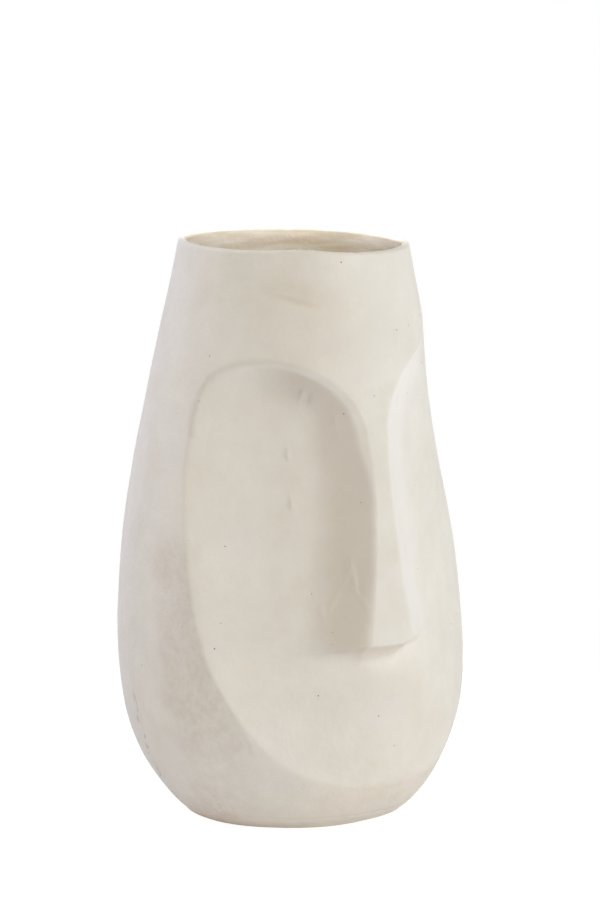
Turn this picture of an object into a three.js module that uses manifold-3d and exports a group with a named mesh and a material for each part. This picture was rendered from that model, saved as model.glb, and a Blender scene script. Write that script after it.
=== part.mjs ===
// Face vase in fired clay: a front half with a face pressed into it, a plain back half, a nose wedge set on
// the face, a floor slab under both halves, and clay coils that back the joints inside.
// Millimetres, +Z up, the middle of the foot at the origin, the face towards -Y.
import * as THREE from "three";
import { mergeVertices } from "three/addons/utils/BufferGeometryUtils.js";
import Module from "manifold-3d";

// Body outline, seen from the side
const HEIGHT = 354;
const FOOT_RADIUS = 65.9;
const BELLY_RADIUS = 108.8;
const BELLY_HEIGHT = 115;
const MOUTH_RADIUS = 70.35;
const HEEL_FLARE = 32.7;
const HEEL_RISE = 29.4;
const BELLY_ROUND_BELOW = 52.6;
const BELLY_ROUND_ABOVE = 86;
const NECK_FLARE = 11.25;
const NECK_DROP = 63.4;

// Walls, floor and lip
const WALL_AT_FOOT = 8;
const LIP_THICKNESS = 5;
const LIP_ROUNDING = 1.8;
const LIP_TILT = 4.6;
const LIP_HIGH_SIDE = THREE.MathUtils.degToRad(-160);
const LIP_TILT_DEPTH = 90;
const SLAB_THICKNESS = 9;
const FOOT_LANDING = 9;
const FOOT_EASE = 2.4;

// Joints between the clay pieces
const LUTE_GAP = 0.3;
const SEAM_ANGLE = THREE.MathUtils.degToRad(98);
const COIL_RADIUS = 6;
const COIL_BELOW_LIP = 70;

// Face oval, measured round the body from the middle of the face
const FACE_DEPTH = 18;
const FACE_HALF_WIDTH = 134.2;
const FACE_SWELL_LEFT = 5.5;
const SWELL_FROM_HEIGHT = 60;
const SWELL_RISE = 55;
const FACE_TURN = THREE.MathUtils.degToRad(5.4);
const FACE_MID_HEIGHT = 190;
const CHIN_HEIGHT = 30;
const CHIN_TURN = THREE.MathUtils.degToRad(2.1);
const CHIN_TURN_HEIGHT = 150;
const CHIN_TURN_DROP = 90;
const CHIN_FULLNESS = 2.5;
const CROWN_REACH = 147.5;
const CROWN_FULLNESS = 2;
const FACE_FLATNESS = 3;
const CHEEK_DEPTH_LEFT = 10;
const CHEEK_DEPTH_RIGHT = 1;
const CHEEK_LOBE = 27 / 4;
const LEAST_MIDDLE = 0.01;
const HOLLOW_FILLET = 12;
const LEAST_FILLET_SHARE = 0.02;
const EDGE_ROUNDING = 3;
const INSIDE_BULGE_SPREAD = 8;

// Brow arches over the two cheek hollows
const ARCH_SPRING_HEIGHT = 240;
const BROW_RISE_LEFT = 48.5;
const BROW_RISE_RIGHT = 54.5;
const BRIDGE_HALF_WIDTH = 8;
const BROW_STEEPNESS = 1;
const BROW_RELEASE = 1;
const RIGHT_FADE_FROM = 0.3;
const RIGHT_FADE_TO = 0.7;
const RIGHT_FADE_DEPTH = 25;

// Nose wedge and the stub of the bridge that it sits on
const NOSE_TIP_HEIGHT = 119;
const NOSE_TIP_HALF_WIDTH = 15;
const NOSE_WAIST_HEIGHT = 208;
const NOSE_WAIST_HALF_WIDTH = 6.5;
const NOSE_WIDENING = 1.3;
const NOSE_TRIM_RIGHT = 3.2;
const NOSE_TRIM_RISE = 46;
const NOSE_ROOT_HEIGHT = 230;
const NOSE_ROOT_STEP = 2;
const NOSE_STEEPNESS = 0.9;
const NOSE_UNDERSIDE_STEEPNESS = 1.7;
const NOSE_ROOT_FALL = 0.3;

// Facets: columns round the body, rows below and above the belly
const FACE_FACETS = { columns: 108, below: 9, above: 34 };
const PLAIN_FACETS = { columns: 60, below: 7, above: 13 };
const COIL_SIDES = 8;
const COIL_STEPS = 14;
const NOSE_ROWS = 14;
const LIP_STEPS = 3;
const SLAB_ROWS = 3;
const WEDGE_STEPS = 8;

const wasm = await Module();
wasm.setup();

// A closed mesh as a solid for cutting and joining
function solidFrom(geometry) {
  const bare = geometry.clone();
  bare.deleteAttribute("normal");
  bare.deleteAttribute("uv");
  const merged = mergeVertices(bare);
  const triangles = [];
  for (let i = 0; i < merged.index.count; i += 3) {
    const [a, b, c] = [0, 1, 2].map((k) => merged.index.getX(i + k));
    if (a !== b && b !== c && c !== a) triangles.push(a, b, c);
  }
  const vertProperties = new Float32Array(merged.attributes.position.array);
  const triVerts = new Uint32Array(triangles);
  return new wasm.Manifold(new wasm.Mesh({ numProp: 3, vertProperties, triVerts }));
}

// A solid as a named mesh of clay
function clayMesh(name, solid, material) {
  const cut = solid.getMesh();
  const geometry = new THREE.BufferGeometry();
  geometry.setAttribute("position", new THREE.BufferAttribute(new Float32Array(cut.vertProperties), 3));
  geometry.setIndex(new THREE.BufferAttribute(new Uint32Array(cut.triVerts), 1));
  geometry.computeVertexNormals();
  const mesh = new THREE.Mesh(geometry, material);
  mesh.name = name;
  return mesh;
}

// Side outline: one curve from the foot to the belly, one from the belly to the mouth
const belowBelly = new THREE.CubicBezierCurve(
  new THREE.Vector2(FOOT_RADIUS, 0),
  new THREE.Vector2(FOOT_RADIUS + HEEL_FLARE, HEEL_RISE),
  new THREE.Vector2(BELLY_RADIUS, BELLY_HEIGHT - BELLY_ROUND_BELOW),
  new THREE.Vector2(BELLY_RADIUS, BELLY_HEIGHT),
);
const aboveBelly = new THREE.CubicBezierCurve(
  new THREE.Vector2(BELLY_RADIUS, BELLY_HEIGHT),
  new THREE.Vector2(BELLY_RADIUS, BELLY_HEIGHT + BELLY_ROUND_ABOVE),
  new THREE.Vector2(MOUTH_RADIUS + NECK_FLARE, HEIGHT - NECK_DROP),
  new THREE.Vector2(MOUTH_RADIUS, HEIGHT),
);

// Where an outline curve passes a height, as the curve's own parameter
function parameterAt(curve, height) {
  const halvings = 40;
  let low = 0;
  let high = 1;
  for (let i = 0; i < halvings; i += 1) {
    const middle = (low + high) / 2;
    if (curve.getPoint(middle).y < height) low = middle;
    else high = middle;
  }
  return (low + high) / 2;
}

function bodyRadius(height) {
  const curve = height < BELLY_HEIGHT ? belowBelly : aboveBelly;
  return curve.getPoint(parameterAt(curve, height)).x;
}

// Points of the outline from a height up to the lip, moved inwards by the thickness given for their height
function outline(fromHeight, toHeight, facets, thickness) {
  const spans = [
    [belowBelly, parameterAt(belowBelly, fromHeight), 1, facets.below],
    [aboveBelly, 0, parameterAt(aboveBelly, toHeight), facets.above],
  ];
  const points = [];
  for (const [curve, start, end, rows] of spans) {
    for (let i = curve === belowBelly ? 0 : 1; i <= rows; i += 1) {
      const t = start + (end - start) * i / rows;
      const point = curve.getPoint(t);
      const along = curve.getTangent(t);
      const inwards = thickness(point.y);
      points.push(new THREE.Vector2(point.x - along.y * inwards, point.y + along.x * inwards));
    }
  }
  return points;
}

const wallThickness = (height) => THREE.MathUtils.lerp(WALL_AT_FOOT, LIP_THICKNESS, height / HEIGHT);

// How much thinner the right half of the nose and bridge is above the tip
function noseTrim(onRight, height) {
  if (!onRight) return 0;
  const full = NOSE_TIP_HEIGHT + NOSE_TRIM_RISE;
  return NOSE_TRIM_RIGHT * THREE.MathUtils.smoothstep(height, NOSE_TIP_HEIGHT, full);
}

// Width of the nose's flat front on one side of its middle, at a height
function noseHalfWidth(onRight, height) {
  const waist = NOSE_WAIST_HALF_WIDTH - noseTrim(onRight, height);
  if (height > NOSE_WAIST_HEIGHT) {
    const up = (height - NOSE_WAIST_HEIGHT) / (ARCH_SPRING_HEIGHT - NOSE_WAIST_HEIGHT);
    return waist + (BRIDGE_HALF_WIDTH - NOSE_WAIST_HALF_WIDTH) * up ** 2;
  }
  const down = Math.min(1, (NOSE_WAIST_HEIGHT - height) / (NOSE_WAIST_HEIGHT - NOSE_TIP_HEIGHT));
  return waist + (NOSE_TIP_HALF_WIDTH - NOSE_WAIST_HALF_WIDTH) * down ** NOSE_WIDENING;
}

// Half the width of the face on one side of its middle, a little more on the left above the chin
function faceHalfWidth(onLeft, height) {
  if (!onLeft) return FACE_HALF_WIDTH;
  const swelled = THREE.MathUtils.smoothstep(height, SWELL_FROM_HEIGHT, SWELL_FROM_HEIGHT + SWELL_RISE);
  return FACE_HALF_WIDTH + FACE_SWELL_LEFT * swelled;
}

// Depth of the open bowl of the face below the round body, with a deeper lobe in each cheek
function bowlDepth(angle, height, radius) {
  const below = height < FACE_MID_HEIGHT;
  const reach = below ? FACE_MID_HEIGHT - CHIN_HEIGHT : CROWN_REACH;
  const fullness = below ? CHIN_FULLNESS : CROWN_FULLNESS;
  const rise = Math.abs(height - FACE_MID_HEIGHT) / reach;
  const swing = THREE.MathUtils.clamp((CHIN_TURN_HEIGHT - height) / CHIN_TURN_DROP, 0, 1);
  const aside = radius * (angle - FACE_TURN - CHIN_TURN * swing);
  const across = Math.abs(aside) / faceHalfWidth(aside < 0, height);
  const bowl = FACE_DEPTH * (1 - (across ** fullness + rise ** fullness) ** (FACE_FLATNESS / fullness));
  const middle = Math.max(LEAST_MIDDLE, 1 - rise ** fullness);
  const cheek = across / middle ** (1 / fullness);
  const lobe = CHEEK_LOBE * (aside < 0 ? CHEEK_DEPTH_LEFT : CHEEK_DEPTH_RIGHT);
  return bowl + lobe * middle * cheek ** 2 * (1 - cheek);
}

// Depth of the wall that falls from a brow arch into its hollow: let go below the arch's springing, and
// faded into the bowl at the outer end of the right brow
function browDepth(angle, height, radius) {
  const spring = (ARCH_SPRING_HEIGHT - FACE_MID_HEIGHT) / CROWN_REACH;
  const reach = faceHalfWidth(angle < 0, height) * Math.sqrt(1 - spring ** 2);
  const outer = reach + Math.sign(angle) * radius * FACE_TURN;
  const bridge = BRIDGE_HALF_WIDTH - noseTrim(angle > 0, height);
  const half = (outer - bridge) / 2;
  const across = Math.abs(radius * angle) - bridge;
  const along = THREE.MathUtils.clamp(across / (2 * half), 0, 1);
  const climb = Math.max(0, height - ARCH_SPRING_HEIGHT) / (angle < 0 ? BROW_RISE_LEFT : BROW_RISE_RIGHT);
  const release = BROW_RELEASE * Math.max(0, ARCH_SPRING_HEIGHT - height);
  const faded = angle < 0 ? 0 : THREE.MathUtils.smoothstep(along, RIGHT_FADE_FROM, RIGHT_FADE_TO);
  const wall = BROW_STEEPNESS * half * (1 - Math.hypot(across / half - 1, climb));
  return wall + release + RIGHT_FADE_DEPTH * faded;
}

// Depth of the bridge's stub, whose crest falls away under the nose wedge
function bridgeDepth(angle, height, radius) {
  const side = NOSE_STEEPNESS * (Math.abs(radius * angle) - noseHalfWidth(angle > 0, height));
  if (height > NOSE_ROOT_HEIGHT) return side;
  return Math.max(side, NOSE_ROOT_STEP + NOSE_ROOT_FALL * (NOSE_ROOT_HEIGHT - height));
}

// The lesser of two depths, with a rounded changeover
function softMin(a, b, rounding) {
  const share = THREE.MathUtils.clamp(0.5 + (b - a) / (2 * rounding), 0, 1);
  return THREE.MathUtils.lerp(b, a, share) - rounding * share * (1 - share);
}

// Depth of the pressed-in face without its nose; the fillet at the foot of a wall runs out with the hollow.
// Inside the vase the hollows bulge in with a spread past the brows, so the wall is thick there.
function faceDepth(angle, height, radius, spread) {
  const bowl = bowlDepth(angle, height, radius);
  const brow = browDepth(angle, height, radius);
  const bridge = bridgeDepth(angle, height, radius);
  const wall = height > ARCH_SPRING_HEIGHT ? brow : Math.min(brow, bridge);
  const fillet = HOLLOW_FILLET * THREE.MathUtils.clamp(2 * bowl / FACE_DEPTH, LEAST_FILLET_SHARE, 1);
  return -softMin(0, -softMin(bowl, wall + spread, fillet), EDGE_ROUNDING);
}

// How far the hand-trimmed lip has sunk on its low side
function lipDrop(angle, height) {
  const nearLip = THREE.MathUtils.smoothstep(height, HEIGHT - LIP_TILT_DEPTH, HEIGHT);
  return LIP_TILT * nearLip * (1 - Math.cos(angle - LIP_HIGH_SIDE)) / 2;
}

// An outline turned round the axis, with the face pressed in and the lip tilted
function pressedLathe(points, facets, grow, spread) {
  const geometry = new THREE.LatheGeometry(points, facets.columns, -Math.PI);
  geometry.rotateX(Math.PI / 2);
  const position = geometry.attributes.position;
  for (let i = 0; i < position.count; i += 1) {
    const radius = Math.hypot(position.getX(i), position.getY(i));
    const height = position.getZ(i);
    const angle = Math.atan2(position.getX(i), -position.getY(i));
    const pressed = radius < 1 ? 0 : radius + grow - faceDepth(angle, height, radius, spread);
    const sunk = height - lipDrop(angle, height);
    position.setXYZ(i, pressed * Math.sin(angle), -pressed * Math.cos(angle), sunk);
  }
  return solidFrom(geometry);
}

// The outside of the body as one filled form, standing on the slab, with a rounded lip
function filledBody(facets, grow = 0) {
  const foot = SLAB_THICKNESS + LUTE_GAP;
  const points = outline(foot, HEIGHT - LIP_ROUNDING, facets, () => 0);
  const shoulder = points.at(-1);
  for (let i = 1; i <= LIP_STEPS; i += 1) {
    const turn = i / LIP_STEPS * Math.PI / 2;
    const inwards = LIP_ROUNDING * (1 - Math.cos(turn));
    points.push(new THREE.Vector2(shoulder.x - inwards, shoulder.y + LIP_ROUNDING * Math.sin(turn)));
  }
  return pressedLathe([new THREE.Vector2(0, foot), ...points, new THREE.Vector2(0, HEIGHT)], facets, grow, 0);
}

// The inside of the vase as one filled form, open past the lip and down to the slab
function filledInside(clearance) {
  const floor = SLAB_THICKNESS + clearance;
  const landing = bodyRadius(SLAB_THICKNESS) - FOOT_LANDING - clearance;
  const wall = outline(SLAB_THICKNESS, HEIGHT, PLAIN_FACETS, (height) => wallThickness(height) + clearance);
  const raised = wall.filter((point) => point.y > floor + COIL_RADIUS && point.x > landing);
  const top = raised.at(-1);
  const points = [
    new THREE.Vector2(0, floor),
    new THREE.Vector2(landing, floor),
    ...raised,
    new THREE.Vector2(top.x, HEIGHT + LIP_THICKNESS),
    new THREE.Vector2(0, HEIGHT + LIP_THICKNESS),
  ];
  return pressedLathe(points, PLAIN_FACETS, 0, INSIDE_BULGE_SPREAD);
}

// An upright wedge round the axis between two angles, used to part the halves at their seams
function seamWedge(fromAngle, toAngle, shiftY) {
  const reach = 2 * (BELLY_RADIUS + MOUTH_RADIUS);
  const corners = [new THREE.Vector2(0, 0)];
  for (let i = 0; i <= WEDGE_STEPS; i += 1) {
    const angle = THREE.MathUtils.lerp(fromAngle, toAngle, i / WEDGE_STEPS);
    corners.push(new THREE.Vector2(reach * Math.sin(angle), -reach * Math.cos(angle)));
  }
  const depth = HEIGHT + 2 * BELLY_RADIUS;
  const geometry = new THREE.ExtrudeGeometry(new THREE.Shape(corners), { depth, bevelEnabled: false });
  geometry.translate(0, shiftY, -BELLY_RADIUS);
  return solidFrom(geometry);
}

// A closed skin over rings of points that all have the same count, with a fan over each end
function loftedSolid(rings) {
  const count = rings[0].length;
  const triangles = [];
  for (let row = 0; row + 1 < rings.length; row += 1) {
    for (let k = 0; k < count; k += 1) {
      const next = (k + 1) % count;
      const [a, b] = [k, next].map((column) => row * count + column);
      const [d, c] = [k, next].map((column) => (row + 1) * count + column);
      triangles.push(a, b, c, a, c, d);
    }
  }
  const last = (rings.length - 1) * count;
  for (let k = 1; k + 1 < count; k += 1) {
    triangles.push(0, k + 1, k, last, last + k, last + k + 1);
  }
  const geometry = new THREE.BufferGeometry().setFromPoints(rings.flat());
  geometry.setIndex(triangles);
  return solidFrom(geometry);
}

// The nose as a block that widens downwards and reaches through the face, before the face is cut from it
function noseBlock() {
  const back = FACE_DEPTH + WALL_AT_FOOT;
  const lowest = NOSE_TIP_HEIGHT - FACE_DEPTH / NOSE_UNDERSIDE_STEEPNESS;
  const heights = [lowest];
  for (let i = 0; i <= NOSE_ROWS; i += 1) {
    heights.push(THREE.MathUtils.lerp(NOSE_TIP_HEIGHT, NOSE_ROOT_HEIGHT, i / NOSE_ROWS));
  }
  return loftedSolid(heights.map((height) => {
    const radius = bodyRadius(height);
    const front = Math.max(0, NOSE_TIP_HEIGHT - height) * NOSE_UNDERSIDE_STEEPNESS;
    const [left, right] = [false, true].map((onRight) => noseHalfWidth(onRight, height));
    const place = (across, depth) => new THREE.Vector3(
      (radius - depth) * Math.sin(across / radius),
      -(radius - depth) * Math.cos(across / radius),
      height,
    );
    const frontSpread = front / NOSE_STEEPNESS;
    const backSpread = back / NOSE_STEEPNESS;
    return [
      place(-left - backSpread, back),
      place(-left - frontSpread, front),
      place(0, front),
      place(right + frontSpread, front),
      place(right + backSpread, back),
    ];
  }));
}

// A coil pressed along the inside of an upright seam, up to a height below the lip
function seamCoil(angle, inside) {
  const from = SLAB_THICKNESS + 2 * COIL_RADIUS + LUTE_GAP;
  const wall = outline(from, HEIGHT - COIL_BELOW_LIP, PLAIN_FACETS, wallThickness);
  const raised = wall.filter((point) => point.y > from);
  const path = new THREE.CatmullRomCurve3(raised.map((point) => new THREE.Vector3(
    point.x * Math.sin(angle),
    -point.x * Math.cos(angle),
    point.y,
  )));
  const section = new THREE.Shape().absarc(0, 0, COIL_RADIUS, 0, 2 * Math.PI);
  const rope = { steps: COIL_STEPS, curveSegments: COIL_SIDES, extrudePath: path, bevelEnabled: false };
  return solidFrom(new THREE.ExtrudeGeometry(section, rope)).intersect(inside);
}

// The coil pressed into the corner between the floor slab and the wall
function floorSeamCoil(inside) {
  const corner = bodyRadius(SLAB_THICKNESS) - FOOT_LANDING;
  const section = [];
  for (let i = 0; i <= COIL_SIDES; i += 1) {
    const turn = i / COIL_SIDES * 2 * Math.PI;
    const out = corner - COIL_RADIUS / 2 + COIL_RADIUS * Math.cos(turn);
    section.push(new THREE.Vector2(out, SLAB_THICKNESS + COIL_RADIUS / 2 + COIL_RADIUS * Math.sin(turn)));
  }
  const ring = new THREE.LatheGeometry(section, PLAIN_FACETS.columns, -Math.PI);
  ring.rotateX(Math.PI / 2);
  return solidFrom(ring).intersect(inside);
}

// The floor slab, whose edge carries on the body's outline down to the foot's eased corner
function floorSlab() {
  const points = [new THREE.Vector2(0, 0), new THREE.Vector2(FOOT_RADIUS - FOOT_EASE, 0)];
  for (let i = 0; i <= SLAB_ROWS; i += 1) {
    const height = THREE.MathUtils.lerp(FOOT_EASE, SLAB_THICKNESS, i / SLAB_ROWS);
    points.push(new THREE.Vector2(bodyRadius(height), height));
  }
  points.push(new THREE.Vector2(0, SLAB_THICKNESS));
  const geometry = new THREE.LatheGeometry(points, PLAIN_FACETS.columns, -Math.PI);
  geometry.rotateX(Math.PI / 2);
  return solidFrom(geometry);
}

const inside = filledInside(0);
const insideClear = filledInside(LUTE_GAP);
const frontWedge = seamWedge(-SEAM_ANGLE, SEAM_ANGLE, 0);
const backWedge = seamWedge(SEAM_ANGLE, 2 * Math.PI - SEAM_ANGLE, LUTE_GAP);

const slipClay = new THREE.MeshStandardMaterial({ color: "#d8d2c6", roughness: 0.92, metalness: 0 });
const bareClay = new THREE.MeshStandardMaterial({ color: "#c9bda6", roughness: 0.95, metalness: 0 });

const vase = new THREE.Group();
vase.add(
  clayMesh("front_shell", filledBody(FACE_FACETS).intersect(frontWedge).subtract(inside), slipClay),
  clayMesh("back_shell", filledBody(PLAIN_FACETS).intersect(backWedge).subtract(inside), slipClay),
  clayMesh("nose", noseBlock().subtract(filledBody(FACE_FACETS, LUTE_GAP)), slipClay),
  clayMesh("floor_slab", floorSlab(), bareClay),
  clayMesh("left_seam_coil", seamCoil(-SEAM_ANGLE, insideClear), bareClay),
  clayMesh("right_seam_coil", seamCoil(SEAM_ANGLE, insideClear), bareClay),
  clayMesh("floor_seam_coil", floorSeamCoil(insideClear), bareClay),
);

export default vase;
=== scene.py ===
import math

import bpy
import numpy as np
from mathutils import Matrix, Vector, noise


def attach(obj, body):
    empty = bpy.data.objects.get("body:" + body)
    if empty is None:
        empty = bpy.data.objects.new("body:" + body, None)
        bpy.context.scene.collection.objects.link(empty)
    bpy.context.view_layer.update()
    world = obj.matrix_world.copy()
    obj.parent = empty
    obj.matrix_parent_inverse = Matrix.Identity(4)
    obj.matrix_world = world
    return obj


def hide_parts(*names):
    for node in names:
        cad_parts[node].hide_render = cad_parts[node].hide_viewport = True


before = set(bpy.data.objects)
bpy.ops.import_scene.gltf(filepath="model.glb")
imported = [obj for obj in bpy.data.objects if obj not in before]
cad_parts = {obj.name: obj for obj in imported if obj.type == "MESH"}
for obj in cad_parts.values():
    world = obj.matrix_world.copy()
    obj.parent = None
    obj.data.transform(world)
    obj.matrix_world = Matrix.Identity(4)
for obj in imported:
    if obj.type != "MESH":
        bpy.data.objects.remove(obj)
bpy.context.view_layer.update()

MM = 0.001

# Body of the vase in millimetres: the side outline is two curves that meet at the belly
HEIGHT = 354.0
FOOT_TO_BELLY = ((65.9, 0.0), (98.6, 29.4), (108.8, 62.4), (108.8, 115.0))
BELLY_TO_LIP = ((108.8, 115.0), (108.8, 201.0), (81.6, 290.6), (70.35, 354.0))
OUTLINE_STEPS = 800
WALL_AT_FOOT = 8.0
WALL_AT_LIP = 5.0
WALL_STARTS = 17.0
LIP_OUTER_ROUNDING = 2.2
LIP_INNER_ROUNDING = 1.8
FOOT_LANDING = 9.0
LANDING_SLOPE_IN = 1.5
LANDING_SLOPE_DOWN = 4.0

# Floor slab, whose edge is eased and pared back in places: angle of the middle, half width, depth
SLAB_TOP = 9.15
SLAB_EDGE = 6.0
SLAB_TOP_SKIN = 0.3
SLAB_CALM = (58.0, 64.0)
FOOT_EASE = 2.4
FOOT_BARE_BELOW = 0.2
FOOT_PARED = ((-95.0, 24.0, 2.4), (-38.0, 34.0, 5.0), (14.0, 30.0, 6.2))
FOOT_PARED_HEIGHT = 8.0
FOOT_PARED_FROM = 30.0

# Waves left by the hand: height, size (along each axis if three are given) and seed
HAND_WAVES = ((0.4, 42.0, 0.0), (0.16, (13.0, 13.0, 60.0), 7.3), (0.09, 9.0, 3.1))
SKIN = 0.25
PROUDEST = 0.2

# Lip trimmed by hand: one side sinks, with small waves and nicks along it
LIP_TILT = 4.6
LIP_TILT_DEPTH = 90.0
LIP_HIGH_SIDE = math.radians(-160)
LIP_WAVE = 0.3
LIP_WAVE_SIZE = 26.0
LIP_WAVE_SEED = 1.7
LIP_WAVE_RADIUS = 80.0
LIP_NICKS = tuple(math.radians(angle) for angle in (-86, 1, 47, 150))
LIP_NICK_DEPTH = 0.5
LIP_NICK_WIDTH = math.radians(1.6)

# Where the lip stands higher: angle of the middle, half width, drop
LIP_SAGS = ((-30.0, 20.0, -2.1), (57.0, 18.0, -0.9), (128.0, 20.0, -0.5))

# Joints between the two halves, backed inside by thumbed coils
SEAM_ANGLE = math.radians(98)
SEAM_BAND = 4.0
COIL_RADIUS = 5.8
COIL_TOP = 279.0
COIL_FOOT = 22.5
COIL_TAPER = 9.0
COIL_BLUNT = 0.02
COIL_SPREAD = 1.05
COIL_SPREAD_LOST = 0.3
COIL_BEDDED = 0.12
COIL_WAVES = 0.5
COIL_WAVE_RADIUS = 80.0
RING_CLEARANCE = 0.1
RING_BEDDED = 1.2
RING_WAVES = 0.3
RING_SEED = 0.4
RING_THUMBS = 25
THUMB_SPACING = 15.0
THUMB_PRESS = 0.2
THUMB_MIDDLE = 1 - THUMB_PRESS
THUMB_STRAY = 0.25
THUMB_WANDER = 2 * math.pi * 7 / RING_THUMBS

# Face pressed into the front, measured round the body from the middle of the face
FACE_DEPTH = 18.0
FACE_HALF_WIDTH = 134.2
FACE_SWELL = 5.5
FACE_SWELL_HEIGHTS = (60.0, 115.0)
FACE_TURN = math.radians(5.4)
CHIN_TURN = math.radians(2.1)
CHIN_TURN_STARTS = 150.0
CHIN_TURN_DEPTH = 90.0
FACE_MID_HEIGHT = 190.0
FACE_REACH_DOWN = 160.0
FACE_REACH_UP = 147.5
CHIN_FULLNESS = 2.5
CROWN_FULLNESS = 2.0
FACE_FLATNESS = 3.0
CHEEK_DEPTH_LEFT = 10.0
CHEEK_DEPTH_RIGHT = 1.0
CHEEK_LOBE = 27 / 4
HOLLOW_FILLET = 12.0
FILLET_LEAST = 0.02
RIM_ROUNDING = 0.9
EDGE_ROUNDING = 0.4
EDGE_SHARP_DEPTHS = (3.0, 8.0)
BULGE_SPREAD = 8.0
BULGE_DIP = 0.3
BULGE_DIP_BELOW = 10.0
LEAST_SHARE = 0.01

# Brow arches
ARCH_SPRING = 240.0
BROW_RISE_LEFT = 48.5
BROW_RISE_RIGHT = 54.5
BROW_FADES_ALONG = (0.3, 0.7)
BROW_FADE_DEPTH = 25.0
BRIDGE_HALF_WIDTH = 8.0
BROW_STEEP_AT_NOSE = 1.1
BROW_STEEP_OUTSIDE = 1.6
STEEP_ON_RIGHT = 0.62
BROW_RELEASE = 1.0
BEVEL_SLOPE = 0.5
BEVEL_WIDTH = 5.0
BEVEL_LEAST = 1.2
BEVEL_BLEND = 0.4
BEVEL_FADES_ALONG = (0.3, 0.9)

# Nose
NOSE_TIP = 119.0
NOSE_TIP_HALF_WIDTH = 15.0
NOSE_WAIST = 208.0
NOSE_WAIST_HALF_WIDTH = 6.5
NOSE_WIDENING = 1.3
NOSE_TRIM = 2.4
NOSE_TRIM_HEIGHTS = (130.0, 165.0)
NOSE_STEEP_AT_TIP = 0.75
NOSE_UNDERSIDE = 1.7
NOSE_UNDERCUT = 0.05
NOSE_TIP_ROUNDING = 2.2
NOSE_CORNER_FROM = 9.0
NOSE_CORNER_WIDTH = 7.6
NOSE_CORNER_RISE = 3.5
NOSE_CORNER_SOFTENS = 0.5
NOSE_TIP_BEVEL = 6.0
NOSE_TIP_BEVEL_RISE = 26.0

# Small marks of fingers and tools: angle and height of the middle, half length, half width, tilt, depth
FINGER_MARKS = (
    (-32.0, 325.2, 13.0, 1.5, -16.0, 0.6),
    (-31.0, 318.5, 18.0, 5.0, -16.0, -0.3),
    (-60.0, 306.0, 20.0, 9.0, 65.0, 0.4),
    (14.0, 300.0, 16.0, 8.0, -30.0, 0.35),
    (-20.0, 300.0, 12.0, 5.0, 20.0, 0.25),
    (-29.3, 266.0, 3.5, 1.6, 70.0, -1.9),
    (-26.0, 264.0, 4.5, 1.7, 70.0, 1.4),
    (-15.5, 250.0, 3.8, 1.5, 100.0, -1.9),
    (-35.6, 230.5, 3.4, 1.6, 95.0, -1.6),
    (-33.8, 201.0, 4.2, 1.6, 105.0, -1.8),
    (-11.6, 158.0, 10.0, 1.5, 98.0, -1.5),
    (-10.2, 152.0, 6.0, 1.4, 84.0, 1.2),
    (-22.0, 138.0, 5.0, 1.5, 90.0, -1.2),
    (-13.0, 163.0, 8.0, 1.4, 70.0, -1.3),
    (-9.5, 146.0, 6.0, 1.4, 110.0, -1.3),
    (-18.0, 145.0, 7.0, 1.5, 60.0, -1.2),
    (57.0, 303.0, 22.0, 12.0, 80.0, 0.9),
    (53.0, 44.0, 30.0, 13.0, 30.0, 1.7),
    (8.0, 35.0, 30.0, 3.2, 3.0, -0.6),
    (30.0, 41.0, 22.0, 3.2, 18.0, -0.7),
)

# Thin brown wash on one flank: its sharp front edge and its width in degrees, at heights
FLANK_WASH = 0.47
FLANK_EDGE_HEIGHTS = (20.0, 60.0, 110.0, 190.0)
FLANK_EDGE = (-40.0, -46.0, -61.0, -68.0)
FLANK_WIDTH_HEIGHTS = (40.0, 120.0)
FLANK_WIDTH = (38.0, 24.0)
FLANK_FEATHER = 10.0
FLANK_SHARP = 2.0
FLANK_BOTTOM = (28.0, 66.0)
FLANK_TOP = (165.0, 192.0)
RAGGED = 7.0
RAGGED_SIZE = 17.0
RAGGED_SEED = 5.9

# The wash at the foot and in spots, which all but stops at the rim of the face
FOOT_WASH = 0.38
FOOT_WASH_TOP = (4.0, 26.0)
FOOT_WASH_SIDE = (-75.0, -50.0)
WASH_STOPS = 0.8
WASH_INSIDE = 0.25

# Spots of wash, smears and painted shade, and painted light: as for the finger marks, with a strength in
# place of the depth
WASH_SPOTS = (
    (20.0, 55.0, 45.0, 13.0, 10.0, 0.25),
    (30.0, 32.0, 20.0, 12.0, 0.0, 0.2),
    (-25.0, 28.0, 45.0, 14.0, -6.0, 0.12),
    (20.0, 20.0, 50.0, 10.0, 0.0, 0.18),
    (24.0, 80.0, 34.0, 26.0, 0.0, 0.22),
    (-67.0, 23.0, 24.0, 16.0, -10.0, 0.5),
    (10.0, 38.0, 36.0, 12.0, 12.0, 0.22),
)
# Of the smears, the three on the forehead and the one under the left brow are painted shade of the crease
# and hollows; the rest darken the slip in patches and streaks
SHADE_AND_SMEARS = (
    (-32.0, 325.2, 13.0, 1.7, -16.0, 0.3),
    (-28.0, 330.0, 19.0, 6.5, -14.0, 0.2),
    (-20.0, 312.0, 36.0, 34.0, 0.0, 0.16),
    (0.0, 94.0, 34.0, 14.0, 4.0, 0.16),
    (-47.0, 266.0, 24.0, 16.0, 0.0, 0.16),
    (0.5, 175.0, 9.0, 46.0, 0.0, 0.1),
    (22.0, 62.0, 26.0, 32.0, 0.0, 0.22),
    (52.0, 105.0, 20.0, 40.0, 0.0, 0.12),
    (-94.0, 205.0, 10.0, 60.0, 4.0, 0.14),
    (-96.0, 118.0, 7.0, 34.0, -3.0, 0.14),
    (-78.0, 290.0, 8.0, 50.0, 5.0, 0.08),
)
# A spot of painted light on the left cheek
PAINTED_LIGHT_SPOTS = ((-56.0, 185.0, 30.0, 70.0, 0.0, 0.24),)
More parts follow.
